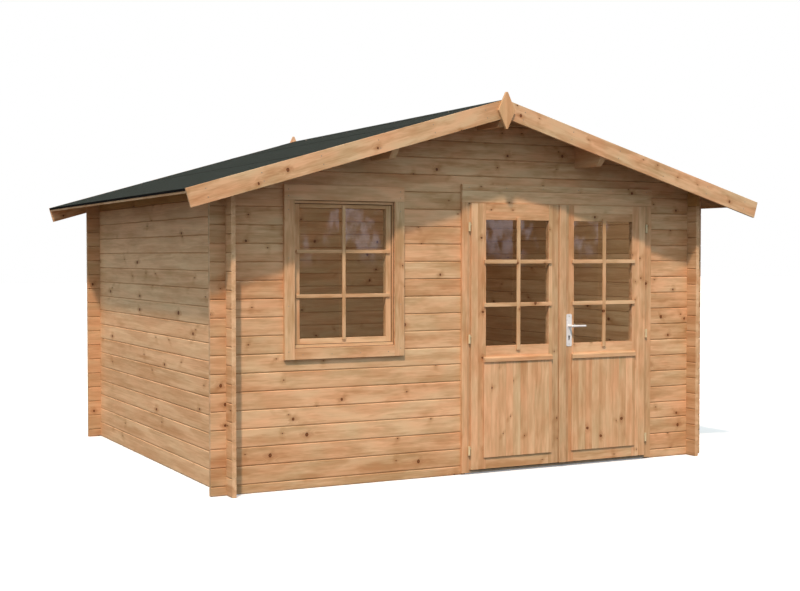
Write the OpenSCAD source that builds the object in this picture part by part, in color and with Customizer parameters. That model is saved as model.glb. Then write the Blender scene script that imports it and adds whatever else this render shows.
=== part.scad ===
// Garden cabin: interlocking log walls, a low gable roof, one fixed window and glazed double doors.
// X runs along the front, the front faces -Y, Z is up and the walls stand on Z = 0.
// The origin is the middle of the cabin's footprint, roof overhangs included.

/* [Walls] */
// Width of the front, over the outer faces of the side walls
wall_w = 3600; // [3300:10:4200]
// Depth, over the outer faces of the front and back walls
wall_d = 3000; // [2400:10:4000]
// Thickness of a wall log
log_t = 28; // [24:1:34]
// Height of one course of logs
course_h = 114; // [110:1:122]
// Full courses in a side wall
side_courses = 17; // [16:1:19]
// How far a log runs on past the corner
log_reach = 100; // [70:1:130]
// Bevel along the edges of a log
log_bevel = 4; // [1:0.5:5]

/* [Roof] */
// Slope of the roof in degrees
roof_slope = 16.2; // [12:0.1:22]
// Reach of the roof boards in front of the front wall
front_overhang = 300; // [200:1:450]
// Reach of the roof boards behind the back wall
back_overhang = 184; // [150:1:450]
// Reach of the roof past a side wall, level
side_overhang = 354; // [250:1:450]
// Thickness of the roof boards
deck_t = 18; // [15:1:24]
// Thickness of the roofing felt
felt_t = 4; // [2:0.5:6]
// Depth of the felt folded down over the eave
felt_lip = 15; // [8:1:20]
// Thickness of the batten along the eave
eave_batten_t = 18; // [12:1:28]
// Depth of the batten along the eave
eave_batten_h = 26; // [22:1:40]
// Depth of a barge board, square to the slope
barge_h = 116; // [95:1:140]
// Thickness of a barge board
barge_t = 18; // [14:1:26]
// Width of a purlin
purlin_w = 45; // [36:1:70]
// Depth of a purlin
purlin_h = 150; // [120:1:180]
// Distance of a side purlin from the ridge, level
purlin_x = 790; // [500:1:1000]
// Corner cut off the end of a purlin
purlin_cut = 50; // [20:1:70]
// Width of the diamond finial
finial_w = 125; // [90:1:180]
// Height of the diamond finial
finial_h = 239; // [180:1:300]
// Thickness of the diamond finial
finial_t = 18; // [12:1:26]
// Width of the finial's blunt tips
finial_tip_w = 12; // [6:1:30]
// How far the finial stands above the ridge
finial_rise = 46; // [20:1:80]

/* [Window] */
// Share of the bare wall left of the doors that lies on the window's outer side
window_side_share = 0.4654; // [0.4:0.0002:0.6]
// Width of the window's gap in the logs
window_gap_w = 760; // [680:1:800]
// Courses of logs that the window's gap takes out
window_courses = 9; // [7:1:10]
// Face width of the trim at the sides and the sill
trim_w = 70; // [55:1:85]
// Face width of the trim over the window
trim_head_w = 95; // [70:1:110]
// How far the trim laps over the logs at the sides and the sill
trim_lap = 40; // [20:1:48]
// How far the trim laps over the logs at the head
trim_head_lap = 26; // [10:1:40]
// Thickness of the trim boards
trim_t = 21; // [14:1:28]
// Width of the window frame at the sides
window_jamb_w = 36; // [28:1:45]
// Height of the window frame's sill
window_sill_h = 48; // [38:1:60]
// Height of the window frame's head
window_head_h = 86; // [60:1:95]
// Depth of the window frame through the wall
window_frame_d = 62; // [58:1:80]
// Width of a stile of the sash
sash_stile_w = 39; // [30:1:55]
// Height of the top rail of the sash
sash_top_h = 28; // [24:1:50]
// Height of the bottom rail of the sash
sash_bottom_h = 37; // [28:1:60]
// Thickness of the sash
sash_t = 40; // [34:1:50]
// How far the sash stands behind the outer face of the logs
sash_recess = 16; // [4:1:24]

/* [Door frame] */
// Distance of the doorway from the outer face of the right wall
door_offset = 411; // [300:1:480]
// Reach of the door frame over the ends of the logs
jamb_lap = 35; // [25:1:45]
// Reach of the door frame over the log above the door
head_lap = 18; // [10:1:30]
// Thickness of the frame between the log ends and the leaf
jamb_t = 24; // [18:1:35]
// Height of the frame between the log above and the leaf
head_t = 61; // [45:1:75]
// How far the frame stands in front of the logs
casing_t = 21; // [16:1:30]
// How far the frame stands inside the logs
lining_t = 18; // [12:1:26]
// Width of the stop that the leaf closes on
stop_w = 16; // [10:1:24]
// Height of the frame's feet above the ground
jamb_foot = 10; // [0:1:14]
// Top of the metal threshold above the ground
threshold_h = 24; // [18:1:40]
// Height of the cover board over the door
cover_h = 41; // [30:1:60]
// Thickness of the cover board over the door
cover_t = 24; // [16:1:32]

/* [Door leaves] */
// Clear gap round each leaf
leaf_gap = 6; // [5:0.5:8]
// Clear gap between the two leaves
meeting_gap = 7; // [6.5:0.5:9]
// Thickness of a leaf
leaf_t = 40; // [36:1:46]
// How far a leaf stands in front of its frame
leaf_proud = 12; // [6:1:16]
// Width of the panes in the leaves
pane_w = 505; // [420:1:530]
// Height of the panes in the leaves
pane_h = 848; // [700:1:900]
// Width of the stile on the hinges
hinge_stile_w = 113; // [95:1:130]
// Width of the left leaf's stile at the middle
left_meeting_w = 77; // [60:1:100]
// Width of the right leaf's stile at the middle
right_meeting_w = 124; // [122:1:150]
// Height of the top rail
top_rail_h = 109; // [90:1:130]
// Height of the middle rail
mid_rail_h = 128; // [110:1:160]
// Height of the bottom rail
bottom_rail_h = 98; // [75:1:120]
// Lap of the lower panel over the rails and stiles
panel_lap = 21; // [12:1:30]
// How far the lower panel stands in front of the leaf
panel_proud = 10; // [6:1:14]
// Height of the drip moulding over the lower panel
drip_h = 36; // [28:1:50]
// Depth of the drip moulding
drip_d = 20; // [16:1:34]
// Width of the cover strip on the right leaf
strip_w = 57; // [40:1:60]
// Thickness of the cover strip on the right leaf
strip_t = 10; // [6:1:16]

/* [Hinges and handle] */
// Diameter of a hinge barrel
hinge_d = 16; // [14:1:18]
// Height of one half of a hinge
hinge_half_h = 30; // [22:1:34]
// Diameter of a hinge pin
hinge_pin_d = 8; // [6:0.5:9]
// Distance of the hinge axis from the edge of the leaf
hinge_offset = 14; // [12:1:18]
// Width of a handle plate
plate_w = 45; // [38:1:50]
// Height of a handle plate
plate_h = 224; // [190:1:240]
// Thickness of a handle plate
plate_t = 3; // [2:0.5:5]
// Middle of a handle plate from the meeting edge of the leaf
plate_offset = 84; // [82:1:95]
// Foot of a handle plate below the foot of the panes
plate_drop = 21; // [0:1:60]
// Height of the spindle above the foot of its plate
spindle_rise = 141; // [110:1:160]
// Length of the lever
lever_l = 108; // [95:1:140]
// Diameter of the lever
lever_d = 15; // [12:1:20]
// Reach of the lever from its plate
lever_reach = 44; // [40:1:60]

/* [Hidden] */
$fn = 48;
// Overrun of a cut
over = 5;
// Clearance between faces that seat on each other
seat = 0.3;
// Clearance at a corner notch or round a purlin
notch_fit = 0.5;
// Clearance round the door and window frames in the logs
gap_fit = 2;
// Running clearance on a hinge pin
pin_fit = 0.06;

// Logs
half_w = wall_w / 2;
front_y = (front_overhang - back_overhang - wall_d) / 2;
back_y = front_y + wall_d;
half_course = course_h / 2;
notch_h = course_h / 4;
head_courses = side_courses - 1;
eave_z = side_courses * course_h;
head_z = half_course + head_courses * course_h;
tongue_share = 0.36;
tongue_w = log_t * tongue_share;
tongue_h = 6;

// Roof
slope_tan = tan(roof_slope);
slope_cos = cos(roof_slope);
ridge_z = eave_z + seat + slope_tan * (half_w - log_t);
deck_front_y = front_y - front_overhang;
deck_back_y = back_y + back_overhang;
deck_l = deck_back_y - deck_front_y;
roof_half = half_w + side_overhang;
roof_top = deck_t + seat + felt_t;
roof_run = (roof_half - roof_top * sin(roof_slope)) / slope_cos;
lip_t = felt_t;
batten_end = roof_run - lip_t - seat;
deck_run = batten_end - eave_batten_t - seat;
apex_z = ridge_z + roof_top / slope_cos;
// A gable log lower than this share of a course is left out at the ridge
ridge_log_share = 0.25;
gable_courses = ceil((ridge_z - head_z) / course_h - ridge_log_share);
last_course = head_courses + gable_courses;

// Door frame
door_inner_w = 2 * (leaf_gap + hinge_stile_w + pane_w) + left_meeting_w + meeting_gap + right_meeting_w;
door_x1 = half_w - door_offset;
door_x0 = door_x1 - door_inner_w - 2 * jamb_t;
frame_x0 = door_x0 + jamb_t;
frame_x1 = door_x1 - jamb_t;
frame_top_z = head_z - head_t;
leaf_front = casing_t + leaf_proud;
leaf_back = leaf_t - leaf_front;
stop_y = leaf_back + leaf_gap;
frame_back = log_t + lining_t;

// Window, in the wall left of the doors
bare_wall_w = door_x0 - jamb_lap + half_w - window_gap_w - 2 * trim_lap;
window_x0 = bare_wall_w * window_side_share + trim_lap - half_w;
window_x1 = window_x0 + window_gap_w;
window_mid = (window_x0 + window_x1) / 2;
window_sill_course = head_courses - window_courses;
window_z0 = head_z - window_courses * course_h;
window_inner_w = window_gap_w - 2 * (gap_fit + window_jamb_w);
window_inner_z0 = window_z0 + gap_fit + window_sill_h;
window_inner_z1 = head_z - gap_fit - window_head_h;
sash_w = window_inner_w - 2 * seat;
sash_z0 = window_inner_z0 + seat;
sash_z1 = window_inner_z1 - seat;
glass_t = 4;
glass_bite = 8;

// Door leaves
left_leaf_w = hinge_stile_w + pane_w + left_meeting_w;
right_leaf_w = hinge_stile_w + pane_w + right_meeting_w;
leaf_z0 = threshold_h + leaf_gap;
leaf_z1 = frame_top_z - leaf_gap;
pane_z1 = leaf_z1 - top_rail_h;
pane_z0 = pane_z1 - pane_h;
panel_z1 = pane_z0 - mid_rail_h;
panel_z0 = leaf_z0 + bottom_rail_h;
left_edge = frame_x0 + leaf_gap;
right_edge = frame_x1 - leaf_gap;
glass_y = leaf_t / 2 - leaf_front;
drip_nose_share = 0.72;
drip_crest_share = 0.55;
strip_bevel_share = 0.4;

// Hinges and handle
hinge_y_share = 0.375;
hinge_y = -leaf_front + hinge_pin_d * hinge_y_share;
hinge_stub_share = 0.75;
hinge_stub_d = hinge_pin_d * hinge_stub_share;
hinge_foot_inset = 99;
hinge_top_inset = 186;
hinge_low_z = leaf_z0 + hinge_foot_inset;
hinge_high_z = leaf_z1 - hinge_top_inset;
hinge_heights = [hinge_low_z, (hinge_low_z + hinge_high_z) / 2, hinge_high_z];
hinge_pin_reach_share = 0.8;
plate_round = 10;
spindle_d = 8;
spindle_room = 1;
plate_z = pane_z0 - plate_drop;
spindle_z = plate_z + spindle_rise;
spindle_x = right_edge - right_leaf_w + plate_offset;
neck_d = 18;
keyhole_d = 17;
keyhole_slot_w = 10;
keyhole_h = 33;
keyhole_drop = 74;

log_wood = [0.80, 0.62, 0.43];
trim_wood = [0.84, 0.66, 0.46];
felt_grey = [0.26, 0.29, 0.27];
pane_tint = [0.62, 0.70, 0.72, 0.45];
threshold_grey = [0.36, 0.36, 0.36];
bright_metal = [0.78, 0.78, 0.76];

// Height of the underside of the roof boards at a distance from the ridge
function roof_z(x) = ridge_z - slope_tan * abs(x);

// Foot and top of a course of the front and back walls, which start with a half log
function course_foot(k) = k == 0 ? 0 : half_course + (k - 1) * course_h;
function course_top(k) = half_course + k * course_h;

// A bar from one corner to the opposite one
module bar(low, high) {
    translate(low) cube(high - low);
}

// Section of a log: bevelled edges, a tongue on top and a groove below
module log_section(h, grooved) {
    mid = log_t / 2;
    groove_half = tongue_w / 2 + notch_fit;
    groove_h = tongue_h + notch_fit;
    groove = [[mid - groove_half, 0], [mid - groove_half, groove_h],
              [mid + groove_half, groove_h], [mid + groove_half, 0]];
    polygon([
        [log_bevel, 0], each (grooved ? groove : []), [log_t - log_bevel, 0],
        [log_t, log_bevel], [log_t, h - log_bevel], [log_t - log_bevel, h],
        [mid + tongue_w / 2, h], [mid + tongue_w / 2, h + tongue_h],
        [mid - tongue_w / 2, h + tongue_h], [mid - tongue_w / 2, h],
        [log_bevel, h], [0, h - log_bevel], [0, log_bevel]
    ]);
}

// A log along X, with its front face on the XZ plane
module log_along_x(x0, x1, z0, z1, grooved) {
    translate([x0, 0, z0]) rotate([90, 0, 90])
        linear_extrude(x1 - x0) log_section(z1 - z0 - seat, grooved);
}

// A log along Y, with its left face on the YZ plane
module log_along_y(y0, y1, z0, z1, grooved) {
    translate([0, y1, z0]) rotate([90, 0, 0])
        linear_extrude(y1 - y0) log_section(z1 - z0 - seat, grooved);
}

// Courses of a front or back wall between two places along X
module x_courses(x0, x1, first, last) {
    for (k = [first:last]) log_along_x(x0, x1, course_foot(k), course_top(k), k > 0);
}

// Corner notches of the front and back walls: a quarter course above and below each bed
module x_corner_notches() {
    for (x = [-half_w, half_w - log_t], k = [0:last_course])
        bar([x - notch_fit, -over, course_top(k) - notch_h - notch_fit / 2],
            [x + log_t + notch_fit, log_t + over, course_top(k) + notch_h + notch_fit / 2]);
}

// Corner notches of the side walls, half a course away from those of the front and back
module y_corner_notches() {
    for (y = [front_y, back_y - log_t], k = [0:side_courses])
        bar([-over, y - notch_fit, k * course_h - notch_h - notch_fit / 2],
            [log_t + over, y + log_t + notch_fit, k * course_h + notch_h + notch_fit / 2]);
}

// The space under the roof boards
module under_roof() {
    translate([0, deck_back_y, 0]) rotate([90, 0, 0]) linear_extrude(deck_l) polygon([
        [-roof_half, 0], [roof_half, 0], [roof_half, roof_z(roof_half) - seat],
        [0, ridge_z - seat], [-roof_half, roof_z(roof_half) - seat]
    ]);
}

module side_wall(x) {
    intersection() {
        translate([x, 0, 0]) difference() {
            for (k = [1:side_courses])
                log_along_y(front_y - log_reach, back_y + log_reach, (k - 1) * course_h, k * course_h, k > 1);
            y_corner_notches();
        }
        under_roof();
    }
}

// Notches in a gable for the purlins
module purlin_notches() {
    for (x = [-purlin_x, 0, purlin_x])
        bar([x - purlin_w / 2 - notch_fit, -over, roof_z(x) - purlin_h - notch_fit],
            [x + purlin_w / 2 + notch_fit, log_t + over, apex_z]);
}

// Gable courses over the straight part of a front or back wall, with their outer face at y
module gable(y) {
    intersection() {
        translate([0, y, 0]) difference() {
            x_courses(-half_w - log_reach, half_w + log_reach, head_courses + 1, last_course);
            x_corner_notches();
            purlin_notches();
        }
        under_roof();
    }
}

module left_wall() {
    color(log_wood) side_wall(-half_w);
}

module right_wall() {
    color(log_wood) side_wall(half_w - log_t);
}

module back_wall() {
    color(log_wood) {
        translate([0, back_y - log_t, 0]) difference() {
            x_courses(-half_w - log_reach, half_w + log_reach, 0, head_courses);
            x_corner_notches();
        }
        gable(back_y - log_t);
    }
}

module front_wall_below_window() {
    color(log_wood) translate([0, front_y, 0]) difference() {
        x_courses(-half_w - log_reach, door_x0, 0, window_sill_course);
        x_corner_notches();
        bar([window_x0, -over, window_z0 - seat], [window_x1, log_t + over, head_z]);
    }
}

module front_wall_left() {
    color(log_wood) translate([0, front_y, 0]) difference() {
        x_courses(-half_w - log_reach, window_x0, window_sill_course + 1, head_courses);
        x_corner_notches();
    }
}

module front_wall_middle() {
    color(log_wood) translate([0, front_y, 0])
        x_courses(window_x1, door_x0, window_sill_course + 1, head_courses);
}

module front_wall_right() {
    color(log_wood) translate([0, front_y, 0]) difference() {
        x_courses(door_x1, half_w + log_reach, 0, head_courses);
        x_corner_notches();
    }
}

module front_gable() {
    color(log_wood) gable(front_y);
}

// A purlin through both gables, its top cut to the roof and its ends cut at the lower corner
module purlin(x) {
    foot = roof_z(x) - purlin_h;
    intersection() {
        translate([x - purlin_w / 2, 0, 0]) rotate([90, 0, 90]) linear_extrude(purlin_w) polygon([
            [deck_front_y, ridge_z], [deck_front_y, foot + purlin_cut], [deck_front_y + purlin_cut, foot],
            [deck_back_y - purlin_cut, foot], [deck_back_y, foot + purlin_cut], [deck_back_y, ridge_z]
        ]);
        under_roof();
    }
}

module ridge_purlin() {
    color(log_wood) purlin(0);
}

module side_purlins() {
    color(log_wood) for (x = [-purlin_x, purlin_x]) purlin(x);
}

// Frame of one roof side: X runs down the slope from the ridge, Z stands square on the roof boards
module on_slope(side) {
    mirror([side < 0 ? 1 : 0, 0, 0]) translate([0, 0, ridge_z]) rotate([0, roof_slope, 0]) children();
}

// A slab on one roof side between two heights over the boards' underside, cut plumb at the ridge
module slope_slab(side, y0, y1, run, low, high) {
    on_slope(side) translate([0, y1, 0]) rotate([90, 0, 0]) linear_extrude(y1 - y0)
        polygon([[-low * slope_tan, low], [run, low], [run, high], [-high * slope_tan, high]]);
}

module left_deck() {
    color(trim_wood) slope_slab(-1, deck_front_y, deck_back_y, deck_run, 0, deck_t);
}

module right_deck() {
    color(trim_wood) slope_slab(1, deck_front_y, deck_back_y, deck_run, 0, deck_t);
}

// Felt over one roof side, folded down over the batten along the eave
module felt(side) {
    foot = deck_t + seat;
    on_slope(side) translate([0, deck_back_y, 0]) rotate([90, 0, 0]) linear_extrude(deck_l) polygon([
        [-foot * slope_tan, foot], [batten_end + seat, foot], [batten_end + seat, roof_top - felt_lip],
        [roof_run, roof_top - felt_lip], [roof_run, roof_top], [-roof_top * slope_tan, roof_top]
    ]);
}

module left_felt() {
    color(felt_grey) felt(-1);
}

module right_felt() {
    color(felt_grey) felt(1);
}

module eave_batten(side) {
    on_slope(side)
        bar([deck_run + seat, deck_front_y, deck_t - eave_batten_h], [batten_end, deck_back_y, deck_t]);
}

module left_eave_batten() {
    color(trim_wood) eave_batten(-1);
}

module right_eave_batten() {
    color(trim_wood) eave_batten(1);
}

// A barge board closes the roof's edge, flush with the felt
module barge(side, y0) {
    slope_slab(side, y0, y0 + barge_t, roof_run, roof_top - barge_h, roof_top);
}

module front_left_barge() {
    color(trim_wood) barge(-1, deck_front_y - seat - barge_t);
}

module front_right_barge() {
    color(trim_wood) barge(1, deck_front_y - seat - barge_t);
}

module back_left_barge() {
    color(trim_wood) barge(-1, deck_back_y + seat);
}

module back_right_barge() {
    color(trim_wood) barge(1, deck_back_y + seat);
}

// Diamond board over the meeting of two barge boards
module finial(y1) {
    top = apex_z + finial_rise;
    translate([0, y1, top]) rotate([90, 0, 0]) linear_extrude(finial_t) polygon([
        [-finial_tip_w / 2, 0], [-finial_w / 2, -finial_h / 2], [-finial_tip_w / 2, -finial_h],
        [finial_tip_w / 2, -finial_h], [finial_w / 2, -finial_h / 2], [finial_tip_w / 2, 0]
    ]);
}

module front_finial() {
    color(trim_wood) finial(deck_front_y - barge_t - 2 * seat);
}

module back_finial() {
    color(trim_wood) finial(deck_back_y + barge_t + 2 * seat + finial_t);
}

// Four trim boards round the window: the head runs across, the sill sits between the sides
module window_trim() {
    x0 = window_x0 - trim_lap;
    x1 = window_x1 + trim_lap;
    z0 = window_z0 - trim_lap;
    z1 = head_z + trim_head_lap;
    side_z1 = z1 - trim_head_w - seat;
    color(trim_wood) translate([0, front_y - seat, 0]) {
        bar([x0, -trim_t, z1 - trim_head_w], [x1, 0, z1]);
        bar([x0, -trim_t, z0], [x0 + trim_w, 0, side_z1]);
        bar([x1 - trim_w, -trim_t, z0], [x1, 0, side_z1]);
        bar([x0 + trim_w + seat, -trim_t, z0], [x1 - trim_w - seat, 0, z0 + trim_w]);
    }
}

// Box frame in the logs: head and sill run across, the jambs stand between them
module window_frame() {
    x0 = window_x0 + gap_fit;
    x1 = window_x1 - gap_fit;
    color(trim_wood) translate([0, front_y, 0]) {
        bar([x0, 0, window_inner_z1], [x1, window_frame_d, head_z - gap_fit]);
        bar([x0, 0, window_z0 + gap_fit], [x1, window_frame_d, window_inner_z0]);
        for (x = [x0, x1 - window_jamb_w])
            bar([x, 0, window_inner_z0 + seat], [x + window_jamb_w, window_frame_d, window_inner_z1 - seat]);
    }
}

// Pane with its edges in a groove of the surrounding rails
module pane(x0, x1, z0, z1, y, spare) {
    bite = glass_bite + spare;
    half_t = glass_t / 2 + spare;
    bar([x0 - bite, y - half_t, z0 - bite], [x1 + bite, y + half_t, z1 + bite]);
}

module sash_pane(spare) {
    x0 = window_mid - sash_w / 2 + sash_stile_w;
    x1 = window_mid + sash_w / 2 - sash_stile_w;
    pane(x0, x1, sash_z0 + sash_bottom_h, sash_z1 - sash_top_h, sash_recess + sash_t / 2, spare);
}

module window_sash() {
    x0 = window_mid - sash_w / 2;
    x1 = window_mid + sash_w / 2;
    y1 = sash_recess + sash_t;
    color(trim_wood) translate([0, front_y, 0]) difference() {
        union() {
            for (x = [x0, x1 - sash_stile_w])
                bar([x, sash_recess, sash_z0], [x + sash_stile_w, y1, sash_z1]);
            bar([x0 + sash_stile_w + seat, sash_recess, sash_z0],
                [x1 - sash_stile_w - seat, y1, sash_z0 + sash_bottom_h]);
            bar([x0 + sash_stile_w + seat, sash_recess, sash_z1 - sash_top_h],
                [x1 - sash_stile_w - seat, y1, sash_z1]);
        }
        sash_pane(seat);
    }
}

module window_glass() {
    color(pane_tint) translate([0, front_y, 0]) sash_pane(0);
}

// Section of a jamb, X into the doorway and Y into the cabin: a channel over the log ends and a stop
module jamb_section() {
    polygon([
        [-jamb_lap, -casing_t], [jamb_t, -casing_t], [jamb_t, stop_y], [jamb_t + stop_w, stop_y],
        [jamb_t + stop_w, frame_back], [-jamb_lap, frame_back],
        [-jamb_lap, log_t + seat], [gap_fit, log_t + seat], [gap_fit, -seat], [-jamb_lap, -seat]
    ]);
}

// A jamb of the door frame for a doorway on its right
module jamb() {
    translate([0, front_y, jamb_foot]) linear_extrude(frame_top_z - seat - jamb_foot) jamb_section();
}

module door_left_jamb() {
    color(trim_wood) translate([door_x0, 0, 0]) jamb();
}

module door_right_jamb() {
    color(trim_wood) translate([door_x1, 0, 0]) mirror([1, 0, 0]) jamb();
}

// Head of the door frame: its faces run over the jambs, and its core fits between the logs
module door_head() {
    x0 = door_x0 - jamb_lap;
    x1 = door_x1 + jamb_lap;
    top = head_z + head_lap;
    color(trim_wood) translate([0, front_y, 0]) {
        bar([x0, -casing_t, frame_top_z], [x1, -seat, top]);
        bar([x0, log_t + seat, frame_top_z], [x1, frame_back, top]);
        bar([door_x0 + gap_fit, -casing_t, frame_top_z], [door_x1 - gap_fit, frame_back, head_z - gap_fit]);
        bar([frame_x0 + stop_w + seat, stop_y, frame_top_z - stop_w],
            [frame_x1 - stop_w - seat, frame_back, head_z - gap_fit]);
    }
}

module door_cover_board() {
    z0 = head_z + head_lap + seat;
    color(trim_wood) translate([0, front_y - seat, 0])
        bar([door_x0 - jamb_lap, -cover_t, z0], [door_x1 + jamb_lap, 0, z0 + cover_h]);
}

// Metal threshold between the jambs, narrower where it passes between their stops
module door_threshold() {
    inset = stop_w + seat;
    color(threshold_grey) translate([0, front_y, 0]) {
        bar([frame_x0 + seat, -casing_t, jamb_foot], [frame_x1 - seat, stop_y - seat, threshold_h]);
        bar([frame_x0 + inset, stop_y - over, jamb_foot], [frame_x1 - inset, frame_back, threshold_h]);
    }
}

// Lower half of a hinge, with its pin, screwed into the frame
module frame_hinge() {
    pin_top = hinge_half_h * (1 + hinge_pin_reach_share);
    cylinder(h = hinge_half_h, d = hinge_d);
    cylinder(h = pin_top, d = hinge_pin_d);
    translate([0, 0, hinge_half_h / 2]) rotate([-90, 0, 0])
        cylinder(h = -casing_t - hinge_y - seat, d = hinge_stub_d);
}

// Upper half of a hinge, on the pin, screwed into the edge of a leaf to its right
module leaf_hinge() {
    difference() {
        union() {
            cylinder(h = hinge_half_h, d = hinge_d);
            translate([0, 0, hinge_half_h / 2]) rotate([0, 90, 0])
                cylinder(h = hinge_offset - seat, d = hinge_stub_d);
        }
        translate([0, 0, -over])
            cylinder(h = over + hinge_half_h * hinge_pin_reach_share + seat, d = hinge_pin_d + 2 * pin_fit);
    }
}

module frame_hinges() {
    color(bright_metal)
        for (x = [left_edge - hinge_offset, right_edge + hinge_offset], z = hinge_heights)
            translate([x, front_y + hinge_y, z - seat]) frame_hinge();
}

module left_leaf_hinges() {
    color(bright_metal) for (z = hinge_heights)
        translate([left_edge - hinge_offset, front_y + hinge_y, z + hinge_half_h]) leaf_hinge();
}

module right_leaf_hinges() {
    color(bright_metal) for (z = hinge_heights)
        translate([right_edge + hinge_offset, front_y + hinge_y, z + hinge_half_h])
            mirror([1, 0, 0]) leaf_hinge();
}

// A leaf is drawn with its hinge edge on X = 0 and the leaf to the right of it
module place_left() {
    translate([left_edge, front_y, 0]) children();
}

module place_right() {
    translate([right_edge, front_y, 0]) mirror([1, 0, 0]) children();
}

module leaf_pane(spare) {
    pane(hinge_stile_w, hinge_stile_w + pane_w, pane_z0, pane_z1, glass_y, spare);
}

// Two stiles and three rails, grooved for the pane
module leaf_frame(w) {
    rail_x0 = hinge_stile_w + seat;
    rail_x1 = hinge_stile_w + pane_w - seat;
    difference() {
        union() {
            bar([0, -leaf_front, leaf_z0], [hinge_stile_w, leaf_back, leaf_z1]);
            bar([hinge_stile_w + pane_w, -leaf_front, leaf_z0], [w, leaf_back, leaf_z1]);
            for (z = [[leaf_z0, panel_z0], [panel_z1, pane_z0], [pane_z1, leaf_z1]])
                bar([rail_x0, -leaf_front, z[0]], [rail_x1, leaf_back, z[1]]);
        }
        leaf_pane(seat);
    }
}

// Lower panel: it fills the leaf's lower gap and laps over the rails and stiles in front
module leaf_panel() {
    x1 = hinge_stile_w + pane_w;
    bar([hinge_stile_w + seat, -leaf_front - over, panel_z0 + seat], [x1 - seat, leaf_back, panel_z1 - seat]);
    bar([hinge_stile_w - panel_lap, -leaf_front - panel_proud, panel_z0 - panel_lap],
        [x1 + panel_lap, -leaf_front - seat, panel_z1 + panel_lap]);
}

// Moulding that throws rain off over the lower panel
module leaf_drip() {
    nose = drip_h * drip_nose_share;
    crest = drip_d * drip_crest_share;
    translate([hinge_stile_w - panel_lap, -leaf_front - seat, panel_z1 + panel_lap + seat])
        rotate([90, 0, 90]) linear_extrude(pane_w + 2 * panel_lap)
            polygon([[0, 0], [0, drip_h], [-crest, drip_h], [-drip_d, nose], [-drip_d, 0]]);
}

module left_leaf_frame() {
    color(trim_wood) place_left() leaf_frame(left_leaf_w);
}

module left_leaf_panel() {
    color(trim_wood) place_left() leaf_panel();
}

module left_leaf_drip() {
    color(trim_wood) place_left() leaf_drip();
}

module left_leaf_glass() {
    color(pane_tint) place_left() leaf_pane(0);
}

// Spindle hole and keyhole through the right leaf, from one place along Y to another
module lock_cuts(y0, y1) {
    slot_h = keyhole_h - keyhole_d / 2;
    translate([spindle_x, y1, spindle_z]) rotate([90, 0, 0]) linear_extrude(y1 - y0) {
        circle(d = spindle_d + 2 * spindle_room);
        translate([0, -keyhole_drop]) {
            circle(d = keyhole_d);
            translate([-keyhole_slot_w / 2, -slot_h]) square([keyhole_slot_w, slot_h]);
        }
    }
}

module right_leaf_frame() {
    color(trim_wood) difference() {
        place_right() leaf_frame(right_leaf_w);
        translate([0, front_y, 0]) lock_cuts(-leaf_front - over, leaf_back + over);
    }
}

module right_leaf_panel() {
    color(trim_wood) place_right() leaf_panel();
}

module right_leaf_drip() {
    color(trim_wood) place_right() leaf_drip();
}

module right_leaf_glass() {
    color(pane_tint) place_right() leaf_pane(0);
}

// Cover strip beside the gap between the leaves, with bevelled edges
module meeting_strip() {
    bevel = strip_t * strip_bevel_share;
    color(trim_wood) place_right() translate([right_leaf_w - strip_w, -leaf_front - seat, leaf_z0])
        linear_extrude(leaf_z1 - leaf_z0) polygon([
            [0, 0], [0, bevel - strip_t], [bevel, -strip_t],
            [strip_w - bevel, -strip_t], [strip_w, bevel - strip_t], [strip_w, 0]
        ]);
}

// Outline of a handle plate with round corners
module plate_outline() {
    translate([-plate_w / 2, plate_round]) square([plate_w, plate_h - 2 * plate_round]);
    translate([plate_round - plate_w / 2, 0]) square([plate_w - 2 * plate_round, plate_h]);
    for (x = [plate_round - plate_w / 2, plate_w / 2 - plate_round], z = [plate_round, plate_h - plate_round])
        translate([x, z]) circle(r = plate_round);
}

module handle_plates() {
    color(bright_metal) translate([0, front_y, 0]) difference() {
        for (y = [-leaf_front - seat, leaf_back + seat + plate_t])
            translate([spindle_x, y, plate_z]) rotate([90, 0, 0]) linear_extrude(plate_t) plate_outline();
        lock_cuts(-leaf_front - over, leaf_back + over);
    }
}

// One arm of the lever: a neck out of the plate, a round elbow and a bar with a round end
module lever_arm(y, way) {
    out = y + way * lever_reach;
    translate([spindle_x, y + way * (plate_t + 2 * seat), spindle_z]) rotate([-90 * way, 0, 0])
        cylinder(h = lever_reach - plate_t - 2 * seat, d = neck_d);
    translate([spindle_x, out, spindle_z]) {
        sphere(d = neck_d);
        rotate([0, 90, 0]) cylinder(h = lever_l, d = lever_d);
        translate([lever_l, 0, 0]) sphere(d = lever_d);
    }
}

module door_lever() {
    color(bright_metal) translate([0, front_y, 0]) {
        lever_arm(-leaf_front, -1);
        lever_arm(leaf_back, 1);
        translate([spindle_x, -leaf_front - plate_t - over, spindle_z]) rotate([-90, 0, 0])
            cylinder(h = leaf_t + 2 * (plate_t + over), d = spindle_d);
    }
}

left_wall();
right_wall();
back_wall();
front_wall_below_window();
front_wall_left();
front_wall_middle();
front_wall_right();
front_gable();
ridge_purlin();
side_purlins();
left_deck();
right_deck();
left_felt();
right_felt();
left_eave_batten();
right_eave_batten();
front_left_barge();
front_right_barge();
back_left_barge();
back_right_barge();
front_finial();
back_finial();
window_trim();
window_frame();
window_sash();
window_glass();
door_left_jamb();
door_right_jamb();
door_head();
door_cover_board();
door_threshold();
frame_hinges();
left_leaf_frame();
left_leaf_panel();
left_leaf_drip();
left_leaf_glass();
left_leaf_hinges();
right_leaf_frame();
right_leaf_panel();
right_leaf_drip();
right_leaf_glass();
right_leaf_hinges();
meeting_strip();
handle_plates();
door_lever();
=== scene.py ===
import math

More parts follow.
